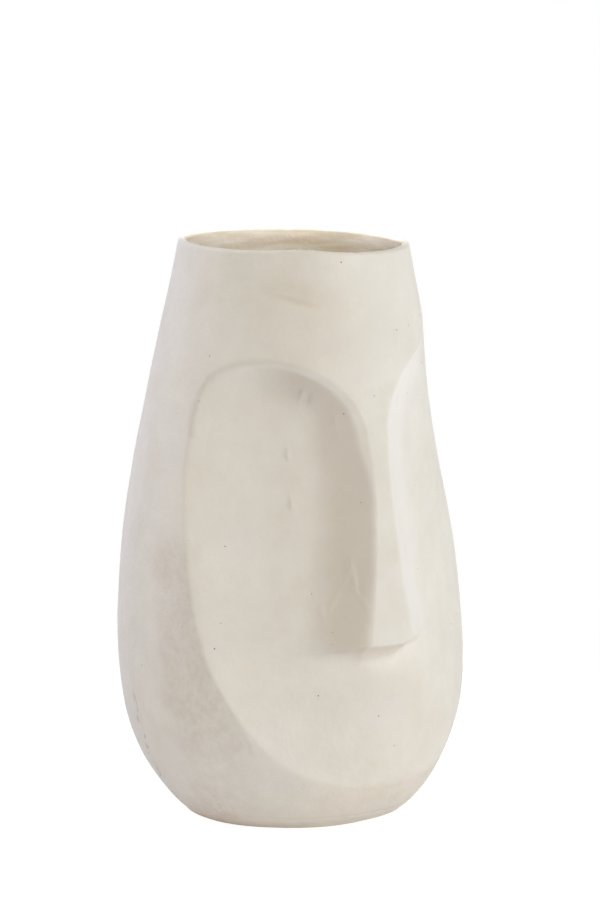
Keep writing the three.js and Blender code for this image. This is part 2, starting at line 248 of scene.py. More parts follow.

# Painted shade under the lower brow, beside the nose and under its tip, and along the lower brow's edge
CORNER_SHADE = 0.43
CORNER_STARTS = (-1.0, 3.0)
CORNER_ENDS = (14.0, 44.0)
CORNER_FOOT = (NOSE_TIP - 10, NOSE_TIP - 2)
CORNER_ALONG = (0.3, 0.65)
BROW_LINE = 0.28
BROW_LINE_IN = 1.0
BROW_LINE_WIDTH = 2.2
BROW_LINE_ALONG = (0.2, 0.45)
UNDERSIDE_SHADE = 0.2
UNDERSIDE_STARTS = (-1.0, 1.0)
UNDERSIDE_ENDS = (7.0, 13.0)
UNDERSIDE_BESIDE = (2.0, 9.0)

# Painted light, as whiter slip on the wall that falls from the higher brow and the nose; and the scraped
# seams
PAINTED_LIGHT_WALL = 0.48
PAINTED_LIGHT_STARTS = (0.0, 2.0)
PAINTED_LIGHT_ENDS = (20.0, 46.0)
PAINTED_LIGHT_FOOT = (NOSE_TIP - 8, NOSE_TIP + 10)
PAINTED_LIGHT_ALONG = (0.4, 0.8)
SEAM_LEAST = 0.1
SEAM_ROUGH_TOP = (60.0, 110.0)

# Share of the wall's thickness at which slip gives way to bare clay
BARE_FROM = (0.55, 0.95)

# Fineness of the meshes
FACE_COLUMNS = 264
BACK_COLUMNS = 132
SLAB_COLUMNS = 240
OUTER_ROWS = 276
INNER_ROWS = 52
LIP_ROWS = 5
SLAB_ROWS = 9
FOOT_ROWS = 5
SLAB_RINGS = 26
COIL_SIDES = 20
COIL_CUTS = 110
RING_SIDES = 24
CROWDING = 0.72
MERGE_WITHIN = 0.01
SHARP_WALL = math.radians(50)
SHARP_COIL = math.radians(60)


def curve_points(corners, count):
    """Points of a cubic curve with four control corners."""
    t = np.linspace(0, 1, count)[:, None]
    a, b, c, d = (np.array(corner) for corner in corners)
    return a * (1 - t) ** 3 + 3 * b * (1 - t) ** 2 * t + 3 * c * (1 - t) * t ** 2 + d * t ** 3


OUTLINE = np.vstack([
    curve_points(FOOT_TO_BELLY, OUTLINE_STEPS)[:-1],
    curve_points(BELLY_TO_LIP, OUTLINE_STEPS),
])


def body_radius(height):
    return np.interp(height, OUTLINE[:, 1], OUTLINE[:, 0])


def wall_thickness(height):
    return WALL_AT_FOOT + (WALL_AT_LIP - WALL_AT_FOOT) * height / HEIGHT


def inner_outline():
    """The outline moved inwards by the wall's thickness."""
    along = np.gradient(OUTLINE, axis=0)
    along /= np.linalg.norm(along, axis=1)[:, None]
    inwards = np.stack([-along[:, 1], along[:, 0]], axis=1)
    return OUTLINE + inwards * wall_thickness(OUTLINE[:, 1])[:, None]


INSIDE = inner_outline()


def inner_radius(height):
    return np.interp(height, INSIDE[:, 1], INSIDE[:, 0])


def even_steps(points, count):
    """The same line with its points at even distances."""
    lengths = np.concatenate([[0], np.cumsum(np.linalg.norm(np.diff(points, axis=0), axis=1))])
    places = np.linspace(0, lengths[-1], count)
    return np.stack([np.interp(places, lengths, points[:, k]) for k in (0, 1)], axis=1)


def smoothstep(value, low, high):
    t = np.clip((value - low) / (high - low), 0, 1)
    return t * t * (3 - 2 * t)


def smooth_least(a, b, rounding):
    """The lesser of two depths, with a rounded changeover."""
    share = np.clip(0.5 + (b - a) / (2 * rounding), 0, 1)
    return b + (a - b) * share - rounding * share * (1 - share)


def smooth_most(a, b, rounding):
    return -smooth_least(-a, -b, rounding)


def around(points):
    """Radius, angle from the middle of the front, and height of points."""
    return np.hypot(points[:, 0], points[:, 1]), np.arctan2(points[:, 0], -points[:, 1]), points[:, 2]


def placed(radius, angle, height):
    """Points at a radius, an angle from the middle of the front, and a height."""
    return np.stack([radius * np.sin(angle), -radius * np.cos(angle), height], axis=1)


def face_turn(height):
    """Angle of the face's middle line, which swings aside towards the chin."""
    return FACE_TURN + CHIN_TURN * np.clip((CHIN_TURN_STARTS - height) / CHIN_TURN_DEPTH, 0, 1)


def face_rise(height):
    """Height from the face's middle, from 0 there to 1 at its crown or chin, and how full its outline is."""
    below = height < FACE_MID_HEIGHT
    up = np.abs(height - FACE_MID_HEIGHT) / np.where(below, FACE_REACH_DOWN, FACE_REACH_UP)
    return up, np.where(below, CHIN_FULLNESS, CROWN_FULLNESS)


def face_half_width(aside, height):
    """Half width of the face, which swells on the side of the lower brow."""
    swell = FACE_SWELL * smoothstep(height, *FACE_SWELL_HEIGHTS)
    return FACE_HALF_WIDTH + np.where(aside < 0, swell, 0)


def bowl_depth(angle, height, radius):
    """Depth of the open bowl of the face below the round body, deeper in the two cheeks."""
    aside = radius * (angle - face_turn(height))
    across = aside / face_half_width(aside, height)
    lobe = CHEEK_LOBE * np.where(across < 0, CHEEK_DEPTH_LEFT, CHEEK_DEPTH_RIGHT)
    across = np.abs(across)
    up, fullness = face_rise(height)
    bowl = FACE_DEPTH * (1 - (across ** fullness + up ** fullness) ** (FACE_FLATNESS / fullness))
    middle = np.clip(1 - up ** fullness, LEAST_SHARE, 1)
    cheek = across / middle ** (1 / fullness)
    return bowl + lobe * middle * cheek ** 2 * (1 - cheek)


def bevel_width(height):
    """Width of the bevel along the edges, which narrows from the brows to the nose."""
    return BEVEL_LEAST + (BEVEL_WIDTH - BEVEL_LEAST) * smoothstep(height, NOSE_WAIST, ARCH_SPRING)


def falling_wall(inwards, steepness, bevel):
    """Depth below an edge: a bevel first, and then the wall."""
    wall = BEVEL_SLOPE * bevel + steepness * (inwards - bevel)
    return smooth_most(BEVEL_SLOPE * inwards, wall, BEVEL_BLEND * np.clip(bevel, LEAST_SHARE, 1))


def nose_half_width(height):
    up = np.clip((height - NOSE_WAIST) / (ARCH_SPRING - NOSE_WAIST), 0, 1)
    down = np.clip((NOSE_WAIST - height) / (NOSE_WAIST - NOSE_TIP), 0, 1)
    flare = (BRIDGE_HALF_WIDTH - NOSE_WAIST_HALF_WIDTH) * up ** 2
    spread = (NOSE_TIP_HALF_WIDTH - NOSE_WAIST_HALF_WIDTH) * down ** NOSE_WIDENING
    return NOSE_WAIST_HALF_WIDTH + flare + spread


def off_nose(angle, height, radius):
    """Distance round the body from the nose's middle, measured long on the right, where it is trimmed."""
    trim = NOSE_TRIM * smoothstep(height, *NOSE_TRIM_HEIGHTS)
    return radius * angle + np.where(angle > 0, trim, 0)


def inside_brow(angle, height, radius):
    """Distance in from a brow's edge, and how far along the arch from the nose, 0 to 1."""
    spring = (ARCH_SPRING - FACE_MID_HEIGHT) / FACE_REACH_UP
    reach = face_half_width(angle, height) * math.sqrt(1 - spring ** 2)
    aside = off_nose(angle, height, radius)
    outer = reach + np.sign(aside) * (radius * FACE_TURN + aside - radius * angle)
    half = (outer - BRIDGE_HALF_WIDTH) / 2
    across = np.abs(aside)
    along = np.clip((across - BRIDGE_HALF_WIDTH) / (2 * half), 0, 1)
    rise = np.where(aside < 0, BROW_RISE_LEFT, BROW_RISE_RIGHT)
    climb = np.clip(height - ARCH_SPRING, 0, None) / rise
    inwards = half * (1 - np.hypot((across - BRIDGE_HALF_WIDTH - half) / half, climb))
    return inwards, along


def brow_depth(angle, height, radius):
    """Depth below the brows, whose right arch fades out on its way round."""
    inwards, along = inside_brow(angle, height, radius)
    steep = BROW_STEEP_AT_NOSE + (BROW_STEEP_OUTSIDE - BROW_STEEP_AT_NOSE) * smoothstep(along, 0, 1)
    steep = np.where(angle > 0, STEEP_ON_RIGHT, steep)
    bevel = bevel_width(height) * (1 - smoothstep(along, *BEVEL_FADES_ALONG))
    faded = np.where(angle > 0, BROW_FADE_DEPTH, 0) * smoothstep(along, *BROW_FADES_ALONG)
    return falling_wall(inwards, steep, bevel) + faded


def nose_depth(angle, height, radius):
    """Depth beside and under the nose, whose tip has one bevelled and one rounded corner."""
    on_right = angle > 0
    up_nose = np.clip((height - NOSE_TIP) / (ARCH_SPRING - NOSE_TIP), 0, 1)
    steep = NOSE_STEEP_AT_TIP + (BROW_STEEP_AT_NOSE - NOSE_STEEP_AT_TIP) * up_nose
    steep = np.where(on_right, STEEP_ON_RIGHT, steep)
    aside = off_nose(angle, height, radius)
    beside = np.abs(aside) - nose_half_width(height)
    tip_bevel = NOSE_TIP_BEVEL * (1 - smoothstep(height, NOSE_TIP, NOSE_TIP + NOSE_TIP_BEVEL_RISE))
    side = falling_wall(beside, steep, bevel_width(height) + np.where(on_right, 0, tip_bevel))
    corner = np.clip((aside - NOSE_CORNER_FROM) / NOSE_CORNER_WIDTH, 0, 1)
    below_tip = NOSE_TIP + NOSE_CORNER_RISE * corner ** 2 - height
    underside = (NOSE_UNDERSIDE + NOSE_UNDERCUT * np.clip(beside, 0, None)) * below_tip
    softer = np.where(on_right, NOSE_CORNER_SOFTENS * np.clip(beside, 0, HOLLOW_FILLET), 0)
    return smooth_most(side, underside, NOSE_TIP_ROUNDING + softer)


def hollowed(bowl, edge, rounding):
    """The bowl cut off by the walls at its edges, with a fillet, and never proud of the round body."""
    fillet = HOLLOW_FILLET * np.clip(2 * bowl / FACE_DEPTH, FILLET_LEAST, 1)
    return smooth_most(smooth_least(bowl, edge, fillet), np.zeros_like(bowl), rounding)


def face_depth(angle, height, radius):
    """Depth of the pressed-in face, with its nose and brows standing."""
    bowl = bowl_depth(angle, height, radius)
    brow = brow_depth(angle, height, radius)
    released = brow + BROW_RELEASE * np.clip(ARCH_SPRING - height, 0, None)
    nose = nose_depth(angle, height, radius)
    edge = np.where(height > ARCH_SPRING, brow, np.minimum(nose, released))
    sharp = smoothstep(bowl, *EDGE_SHARP_DEPTHS)
    return hollowed(bowl, edge, RIM_ROUNDING + (EDGE_ROUNDING - RIM_ROUNDING) * sharp)


def bulge_depth(angle, height, radius):
    """How far the hollows bulge into the vase: softer than outside, and with no nose."""
    inwards, _ = inside_brow(angle, height, radius)
    side = np.abs(off_nose(angle, height, radius)) - nose_half_width(height)
    dip = BULGE_DIP * np.clip(ARCH_SPRING - BULGE_DIP_BELOW - height, 0, None)
    edge = np.where(height > ARCH_SPRING, inwards, np.maximum(side, dip)) + BULGE_SPREAD
    return hollowed(bowl_depth(angle, height, radius), edge, 2 * RIM_ROUNDING)


def clay_noise(points, size, seed):
    """Smooth noise from -1 to 1 with lumps of a size in millimetres, along each axis if three are given."""
    scaled = points / np.array(size) + seed
    return np.array([noise.noise(Vector(point)) for point in scaled])


def hand_waves(points):
    """How far a hand-smoothed surface lies below the true form."""
    waves = sum(height * clay_noise(points, size, seed) for height, size, seed in HAND_WAVES)
    return SKIN - np.minimum(waves, PROUDEST)


def lip_drop(angle, height):
    """How far the hand-trimmed lip has sunk."""
    tilt = LIP_TILT * smoothstep(height, HEIGHT - LIP_TILT_DEPTH, HEIGHT)
    tilt = tilt * (1 - np.cos(angle - LIP_HIGH_SIDE)) / 2
    ring = placed(LIP_WAVE_RADIUS, angle, np.zeros_like(angle))
    wave = LIP_WAVE * (1 + clay_noise(ring, LIP_WAVE_SIZE, LIP_WAVE_SEED)) / 2
    for middle, width, drop in LIP_SAGS:
        away = np.mod(np.degrees(angle) - middle + 180, 360) - 180
        wave += drop * np.exp(-(away / width) ** 2)
    for nick in LIP_NICKS:
        wave += LIP_NICK_DEPTH * np.exp(-((angle - nick) / LIP_NICK_WIDTH) ** 2)
    return tilt + wave * smoothstep(height, HEIGHT - LIP_WAVE_SIZE, HEIGHT)


def long_spot(angle, height, radius, middle, level, length, width, tilt):
    """A soft oval spot on the body, 1 in its middle, with its long side tilted."""
    across = radius * (angle - math.radians(middle))
    up = height - level
    turn = math.radians(tilt)
    along = across * math.cos(turn) + up * math.sin(turn)
    aside = up * math.cos(turn) - across * math.sin(turn)
    return np.exp(-((along / length) ** 2 + (aside / width) ** 2))


def spots(table, angle, height, radius):
    """Soft spots added up, each with its own strength or depth."""
    return sum(strength * long_spot(angle, height, radius, *spot) for *spot, strength in table)


def wash_shade(angle, height, radius):
    """Where a thin brown wash was left in blotches: on one flank, at the foot and below the chin."""
    degrees = np.degrees(angle)
    front = np.interp(height, FLANK_EDGE_HEIGHTS, FLANK_EDGE)
    back = front - np.interp(height, FLANK_WIDTH_HEIGHTS, FLANK_WIDTH)
    ragged = degrees + RAGGED * clay_noise(placed(radius, angle, height), RAGGED_SIZE, RAGGED_SEED)
    flank = smoothstep(ragged, back, back + FLANK_FEATHER)
    flank = flank * (1 - smoothstep(degrees, front - FLANK_SHARP, front))
    flank = FLANK_WASH * flank * (1 - smoothstep(height, *FLANK_TOP)) * smoothstep(height, *FLANK_BOTTOM)
    foot = FOOT_WASH * (1 - smoothstep(height, *FOOT_WASH_TOP)) * (1 - smoothstep(degrees, *FOOT_WASH_SIDE))
    left = np.clip(np.maximum(flank, foot) + spots(WASH_SPOTS, angle, height, radius), 0, 1)
    outside = 1 - smoothstep(bowl_depth(angle, height, radius), -WASH_STOPS, WASH_STOPS)
    return left * (WASH_INSIDE + (1 - WASH_INSIDE) * outside)


def painted_shade_and_smears(angle, height, radius):
    """Painted shade under the lower brow, beside and under the nose, along the brow's edge, and smears."""
    inwards, along = inside_brow(angle, height, radius)
    aside = off_nose(angle, height, radius)
    half_nose = nose_half_width(height)
    beside = np.where(height > ARCH_SPRING, inwards, -aside - half_nose)
    shade = smoothstep(beside - bevel_width(height), *CORNER_STARTS) * (1 - smoothstep(beside, *CORNER_ENDS))
    shade = shade * (aside < 0) * smoothstep(height, *CORNER_FOOT) * (1 - smoothstep(along, *CORNER_ALONG))
    line = np.exp(-((inwards - BROW_LINE_IN) / BROW_LINE_WIDTH) ** 2) * smoothstep(along, *BROW_LINE_ALONG)
    line = line * (aside < 0) * (height > ARCH_SPRING)
    below = NOSE_TIP - height
    under = smoothstep(below, *UNDERSIDE_STARTS) * (1 - smoothstep(below, *UNDERSIDE_ENDS))
    under = under * (1 - smoothstep(np.abs(aside) - half_nose, *UNDERSIDE_BESIDE))
    smear_and_shade_spots = spots(SHADE_AND_SMEARS, angle, height, radius)
    return np.clip(CORNER_SHADE * shade + BROW_LINE * line + UNDERSIDE_SHADE * under + smear_and_shade_spots, 0, 1)


def painted_light_on_walls(angle, height, radius):
    """Painted light, as whiter slip on the wall that falls from the nose and the higher brow, and on a spot
    of the left cheek.
    """
    inwards, along = inside_brow(angle, height, radius)
    aside = off_nose(angle, height, radius)
    beside = np.where(height > ARCH_SPRING, inwards, aside - nose_half_width(height))
    shade = smoothstep(beside, *PAINTED_LIGHT_STARTS) * (1 - smoothstep(beside, *PAINTED_LIGHT_ENDS)) * (aside > 0)
    shade = shade * smoothstep(height, *PAINTED_LIGHT_FOOT) * (1 - smoothstep(along, *PAINTED_LIGHT_ALONG))
    return np.clip(PAINTED_LIGHT_WALL * shade + spots(PAINTED_LIGHT_SPOTS, angle, height, radius), 0, 1)


def seam_shade(angle, height, radius):
    """Where the joint between the halves was scraped: a narrow upright band, rougher low down."""
    aside = (np.abs(angle) - SEAM_ANGLE) * radius
    rough = SEAM_LEAST + (1 - SEAM_LEAST) * (1 - smoothstep(height, *SEAM_ROUGH_TOP))
    return np.exp(-(aside / SEAM_BAND) ** 2) * rough


def read_points(piece):
    """A mesh's points in millimetres."""
    points = np.zeros(len(piece.data.vertices) * 3)
    piece.data.vertices.foreach_get("co", points)
    return points.reshape(-1, 3) / MM


def write_points(piece, points):
    """Moves a mesh's points to places in millimetres."""
    piece.data.vertices.foreach_set("co", (points * MM).ravel())
    piece.data.update()


def paint(piece, name, values):
    """Keeps a number for each point, which the finish reads."""
    layer = piece.data.attributes.new(name, "FLOAT", "POINT")
    layer.data.foreach_set("value", values.astype(np.float32))


def select_points(piece, chosen):
    """Selects the points of a mesh in edit mode by a test on their places."""
    bpy.ops.mesh.select_all(action="DESELECT")
    bpy.ops.object.mode_set(mode="OBJECT")
    piece.data.vertices.foreach_set("select", chosen(read_points(piece)))
    bpy.ops.object.mode_set(mode="EDIT")
    bpy.ops.mesh.select_mode(type="VERT")


def lay_ring(name, section, angle):
    """A ring of points laid on an upright section at an angle round the axis."""
    bpy.ops.object.select_all(action="DESELECT")
    bpy.ops.mesh.primitive_circle_add(vertices=len(section), radius=HEIGHT * MM, fill_type="NOTHING")
    piece = bpy.context.object
    piece.name = name
    piece.data.name = name
    write_points(piece, placed(section[:, 0], angle, section[:, 1]))
    return piece


def finish_mesh(piece, sharp_angle):
    """Merges doubled points, turns every face outwards and smooths all but the sharp edges."""
    bpy.ops.object.mode_set(mode="EDIT")
    bpy.ops.mesh.select_all(action="SELECT")
    bpy.ops.mesh.remove_doubles(threshold=MERGE_WITHIN * MM)
    bpy.ops.mesh.normals_make_consistent(inside=False)
    bpy.ops.object.mode_set(mode="OBJECT")
    bpy.ops.object.shade_smooth_by_angle(angle=sharp_angle)


def wall_section():
    """The cut through the wall: up the outside, over the rounded lip, down the inside and along the foot."""
    outside = OUTLINE[(OUTLINE[:, 1] > SLAB_TOP) & (OUTLINE[:, 1] < HEIGHT - LIP_OUTER_ROUNDING)]
    outside = np.vstack([[body_radius(SLAB_TOP), SLAB_TOP], outside])
    inside = INSIDE[(INSIDE[:, 1] > WALL_STARTS) & (INSIDE[:, 1] < HEIGHT - LIP_INNER_ROUNDING)][::-1]
    turns = np.linspace(0, math.pi / 2, LIP_ROWS)
    outer_edge, inner_edge = outside[-1], inside[0]
    outer_round = LIP_OUTER_ROUNDING * np.stack([np.cos(turns) - 1, np.sin(turns)], axis=1)
    inner_round = LIP_INNER_ROUNDING * np.stack([1 - np.sin(turns), np.cos(turns)], axis=1)
    landing = body_radius(SLAB_TOP) - FOOT_LANDING
    return np.vstack([
        even_steps(outside, OUTER_ROWS),
        (outer_edge + outer_round)[1:],
        inner_edge + inner_round,
        even_steps(inside, INNER_ROWS)[1:],
        [[landing + LANDING_SLOPE_IN, WALL_STARTS - LANDING_SLOPE_DOWN], [landing, SLAB_TOP]],
    ])


def press_wall(piece, pressed):
    """Presses the face, the hand's marks and the trimmed lip into a plain turned wall."""
    radius, angle, height = around(read_points(piece))
    if pressed:
        turn = angle / SEAM_ANGLE
        angle = SEAM_ANGLE * (CROWDING * turn + (1 - CROWDING) * turn ** 3)
    share = np.clip((body_radius(height) - radius) / wall_thickness(height), 0, 1)
    depth = np.zeros_like(radius)
    if pressed:
        outside = face_depth(angle, height, radius) + spots(FINGER_MARKS, angle, height, radius)
        depth = outside + (bulge_depth(angle, height, radius) - outside) * share
    set_in = radius - depth - hand_waves(placed(radius, angle, height))
    write_points(piece, placed(set_in, angle, height - lip_drop(angle, height)))
    paint(piece, "inside", smoothstep(share, *BARE_FROM))
    # Tints painted in layers: scraped seams, painted shade with smears, the brown wash, and painted light
    for name, shade in (
        ("seam", seam_shade),
        ("corner", painted_shade_and_smears),
        ("wash", wash_shade),
        ("painted_light", painted_light_on_walls),
    ):
        paint(piece, name, shade(angle, height, radius) * (1 - share))


def half_shell(name, start, turn, columns, pressed):
    """One half of the body: its wall section turned round the axis, closed at both seams."""
    piece = lay_ring(name, wall_section(), start)
    bpy.ops.object.mode_set(mode="EDIT")
    bpy.ops.mesh.select_all(action="SELECT")
    bpy.ops.mesh.spin(steps=columns, angle=turn, center=(0, 0, 0), axis=(0, 0, -1))
    for seam in (start, start + turn):
        across = np.array([math.cos(seam), math.sin(seam), 0])
        out = np.array([math.sin(seam), -math.cos(seam), 0])
        select_points(piece, lambda points: (np.abs(points @ across) < MERGE_WITHIN) & (points @ out > 0))
        bpy.ops.mesh.edge_face_add()
    bpy.ops.object.mode_set(mode="OBJECT")
    press_wall(piece, pressed)
    finish_mesh(piece, SHARP_WALL)
    return piece


face_half = half_shell("face_half", -SEAM_ANGLE, 2 * SEAM_ANGLE, FACE_COLUMNS, True)
back_half = half_shell("back_half", SEAM_ANGLE, 2 * (math.pi - SEAM_ANGLE), BACK_COLUMNS, False)


def slab_section():
    """The cut through the floor slab, from the middle underneath, round its edge, to the middle on top."""
    heights = np.linspace(FOOT_EASE, SLAB_TOP, SLAB_ROWS)
    edge = np.stack([body_radius(heights), heights], axis=1)
    turns = np.linspace(0, math.pi / 2, FOOT_ROWS)[:-1]
    foot = edge[0] + FOOT_EASE * np.stack([np.sin(turns) - 1, -np.cos(turns)], axis=1)
    rings = np.linspace(0, 1, SLAB_RINGS)[:, None]
    top = edge[-1] + rings[1:] * (np.array([0.0, SLAB_TOP]) - edge[-1])
    return np.vstack([rings[:-1] * foot[0], foot, edge, top])


def foot_paring(radius, angle, height):
    """How far the foot's edge was pared back."""
    degrees = np.degrees(angle)
    pared = np.clip(1 - height / FOOT_PARED_HEIGHT, 0, 1) ** 2
    pared *= smoothstep(radius, FOOT_PARED_FROM, body_radius(0))
    cuts = (depth * np.exp(-((degrees - middle) / width) ** 2) for middle, width, depth in FOOT_PARED)
    return pared * sum(cuts)


def floor_slab():
    """The disc under both halves: its edge carries on the body's outline down to a softened foot."""
    piece = lay_ring("floor_disc", slab_section(), 0)
    bpy.ops.object.mode_set(mode="EDIT")
    select_points(piece, lambda points: np.hypot(points[:, 0], points[:, 1]) < MERGE_WITHIN)
    bpy.ops.mesh.delete(type="EDGE")
    bpy.ops.mesh.select_all(action="SELECT")
    bpy.ops.mesh.spin(steps=SLAB_COLUMNS, angle=2 * math.pi, center=(0, 0, 0), axis=(0, 0, 1))
    bpy.ops.object.mode_set(mode="OBJECT")
    finish_mesh(piece, SHARP_WALL)
    points = read_points(piece)
    radius, angle, height = around(points)
    near_edge = smoothstep(radius, body_radius(0) - SLAB_EDGE, body_radius(0))
    waves = hand_waves(points)
    set_in = near_edge * waves + foot_paring(radius, angle, height)
    on_top = smoothstep(height, SLAB_TOP - SLAB_TOP_SKIN, SLAB_TOP) * (1 - smoothstep(radius, *SLAB_CALM))
    lowered = height - on_top * waves
    write_points(piece, placed(radius - set_in, angle, lowered))
    paint(piece, "inside", 1 - near_edge * smoothstep(lowered, FOOT_BARE_BELOW, FOOT_EASE))
    paint(piece, "wash", wash_shade(angle, lowered, radius))
    return piece


floor_disc = floor_slab()


def thumb_marks(steps, seed):
    """A coil's height along its run, at most 1, where a thumb pressed it down at each step."""
    wander = THUMB_STRAY * np.sin(steps * THUMB_WANDER + seed)
    return THUMB_MIDDLE + THUMB_PRESS * np.cos(2 * math.pi * (steps + wander))


def upright_bar(name, foot, top):
    """A plain upright bar on the axis, cut across into many short lengths."""
    length = top - foot
    bpy.ops.object.select_all(action="DESELECT")
    bpy.ops.mesh.primitive_cylinder_add(
        vertices=COIL_SIDES,
        radius=COIL_RADIUS * MM,
        depth=length * MM,
        location=(0, 0, (foot + length / 2) * MM),
    )
    piece = bpy.context.object
    piece.name = name
    piece.data.name = name
    bpy.ops.object.transform_apply(location=True)
    bpy.ops.object.mode_set(mode="EDIT")
    bpy.ops.mesh.select_mode(type="EDGE")
    bpy.ops.mesh.select_all(action="DESELECT")
    bpy.ops.object.mode_set(mode="OBJECT")
    for edge in piece.data.edges:
        low, high = (piece.data.vertices[k].co.z for k in edge.vertices)
        edge.select = abs(high - low) > length * MM / 2
    bpy.ops.object.mode_set(mode="EDIT")
    bpy.ops.mesh.subdivide(number_cuts=COIL_CUTS)
    bpy.ops.object.mode_set(mode="OBJECT")
    return piece


def seam_coil(name, side):
    """An upright coil of clay thumbed along the inside of a seam."""
    piece = upright_bar(name, COIL_FOOT, COIL_TOP)
    points = read_points(piece)
    height = points[:, 2]
    ends = np.minimum(height - COIL_FOOT, COIL_TOP - height)
    taper = np.sqrt(np.clip(1 - (1 - np.clip(ends / COIL_TAPER, COIL_BLUNT, 1)) ** 2, 0, 1))
    press = thumb_marks(height / THUMB_SPACING, side)
    along = points[:, 0] * (COIL_SPREAD - COIL_SPREAD_LOST * (press - THUMB_MIDDLE)) * taper
    proud = np.where(points[:, 1] > 0, points[:, 1] * press * taper, COIL_BEDDED * points[:, 1])
    angle = side * SEAM_ANGLE + along / inner_radius(height)
    waves = hand_waves(np.stack([angle * COIL_WAVE_RADIUS, proud, height], axis=1))
    write_points(piece, placed(inner_radius(height) - proud - COIL_WAVES * waves, angle, height))
    finish_mesh(piece, SHARP_COIL)
    paint(piece, "inside", np.ones(len(piece.data.vertices)))
    return piece


left_coil = seam_coil("left_thumbed_coil", -1)
right_coil = seam_coil("right_thumbed_coil", 1)


def floor_ring():
    """The coil thumbed into the corner between the floor and the wall."""
    corner = body_radius(SLAB_TOP) - FOOT_LANDING
    bed = SLAB_TOP + RING_CLEARANCE
    turns = np.linspace(0, 2 * math.pi, RING_SIDES, endpoint=False)
    middle = np.array([corner - COIL_RADIUS / 2, SLAB_TOP + COIL_RADIUS / 2])
    section = middle + COIL_RADIUS * np.stack([np.cos(turns), np.sin(turns)], axis=1)
    section[:, 1] = np.maximum(section[:, 1], bed)
    piece = lay_ring("floor_thumbed_coil", section, 0)
    bpy.ops.object.mode_set(mode="EDIT")
    bpy.ops.mesh.select_all(action="SELECT")
    bpy.ops.mesh.spin(steps=SLAB_COLUMNS, angle=2 * math.pi, center=(0, 0, 0), axis=(0, 0, 1))
    bpy.ops.object.mode_set(mode="OBJECT")
    finish_mesh(piece, SHARP_COIL)
    points = read_points(piece)
    radius, angle, height = around(points)
    press = thumb_marks(angle / (2 * math.pi) * RING_THUMBS, RING_SEED)
    thumbed = (radius - middle[0]) * np.where(radius < middle[0], press, 1)
    radius = np.minimum(middle[0] + thumbed + RING_WAVES * hand_waves(points), corner + RING_BEDDED)
    write_points(piece, placed(radius, angle, bed + (height - bed) * press))
    finish_mesh(piece, SHARP_COIL)
    paint(piece, "inside", np.ones(len(piece.data.vertices)))
    return piece


floor_coil = floor_ring()


def linear(hex_colour):
    """An sRGB hex colour as linear red, green, blue and alpha."""
    parts = [int(hex_colour[k:k + 2], 16) / 255 for k in (0, 2, 4)]
    return tuple(c / 12.92 if c <= 0.04045 else ((c + 0.055) / 1.055) ** 2.4 for c in parts) + (1.0,)


def per_metre(size_mm):
    """Scale of a pattern whose features are a size in millimetres."""
    return 1 / (size_mm * MM)


def add(tree, kind, inputs, **settings):
    """Adds a shader node, with its settings, and with values or links in its inputs."""
    made = tree.nodes.new("ShaderNode" + kind)
    for name, value in settings.items():
        setattr(made, name, value)
    for socket, value in inputs.items():
        if isinstance(value, bpy.types.NodeSocket):
            tree.links.new(value, made.inputs[socket])
        else:
            made.inputs[socket].default_value = value
    return made


# Colours of the clay and its slip; the wash's brown also paints shade, and the whitest slip paints light
SLIP = "E6E1D5"
SLIP_DULL = "DED8CA"
SLIP_GREY = "E1DBD3"
SLIP_PAINTED_LIGHT = "EEE9E1"
WASH_AND_SHADE = "CBBCAB"
SCRATCH = "A89E92"
BARE_CLAY = "E4DCCF"
BARE_DARK = "CFC1A9"
PIT = "968D82"

# Sizes of the patterns in millimetres. Real grain is under half a millimetre, and is drawn coarser to show
CLOUD_SIZE = 26
VEIL_SIZE = 48
STROKE_SIZE = 30
STROKE_SQUEEZE = 7.0
BLOTCH_SIZE = 9
SCRAPE_SIZE = 1.8
SCRAPE_STRETCH = 0.1
PIT_SPACING = 6
PIT_DEPTH = 0.4
DAB_SIZE = 7
DAB_DEPTH = 0.6
GRAIN_SIZE = 1.6
GRAIN_DEPTH = 0.12


def new_material(name):
    material = bpy.data.materials.new(name)
    material.use_nodes = True
    material.node_tree.nodes.clear()
    return material, material.node_tree


def slip_colour(tree, place):
    """White slip in faint clouds and greyed in veils, and whiter as painted light on the lit walls."""
    clouds = add(tree, "TexNoise", {
        "Vector": place, "Scale": per_metre(CLOUD_SIZE), "Detail": 5.0, "Roughness": 0.65,
    })
    spread = add(tree, "MapRange", {"Value": clouds.outputs["Fac"], "From Min": 0.3, "From Max": 0.7})
    clouded = add(tree, "Mix", {
        "Factor": spread.outputs["Result"], "A": linear(SLIP), "B": linear(SLIP_DULL),
    }, data_type="RGBA")
    veils = add(tree, "TexNoise", {
        "Vector": place, "Scale": per_metre(VEIL_SIZE), "Detail": 3.0, "Roughness": 0.6,
    })
    greyed = add(tree, "MapRange", {
        "Value": veils.outputs["Fac"], "From Min": 0.48, "From Max": 0.7, "To Max": 0.6,
    })
    veiled = add(tree, "Mix", {
        "Factor": greyed.outputs["Result"], "A": clouded.outputs["Result"], "B": linear(SLIP_GREY),
    }, data_type="RGBA")
    # The layer read here is painted light: whiter slip where walls face the lamps
    painted_light = add(tree, "Attribute", {}, attribute_name="painted_light").outputs["Fac"]
    return add(tree, "Mix", {
        "Factor": painted_light, "A": veiled.outputs["Result"], "B": linear(SLIP_PAINTED_LIGHT),
    }, data_type="RGBA").outputs["Result"]


def bare_colour(tree, place):
    """Bare clay, streaked round the wall by the strokes of the hand."""
    squeezed = add(tree, "Mapping", {"Vector": place, "Scale": (1.0, 1.0, STROKE_SQUEEZE)})
    strokes = add(tree, "TexNoise", {
        "Vector": squeezed.outputs["Vector"], "Scale": per_metre(STROKE_SIZE), "Detail": 5.0,
    })
    streaky = add(tree, "MapRange", {"Value": strokes.outputs["Fac"], "From Min": 0.3, "From Max": 0.7})
    return add(tree, "Mix", {
        "Factor": streaky.outputs["Result"], "A": linear(BARE_CLAY), "B": linear(BARE_DARK),
    }, data_type="RGBA").outputs["Result"]


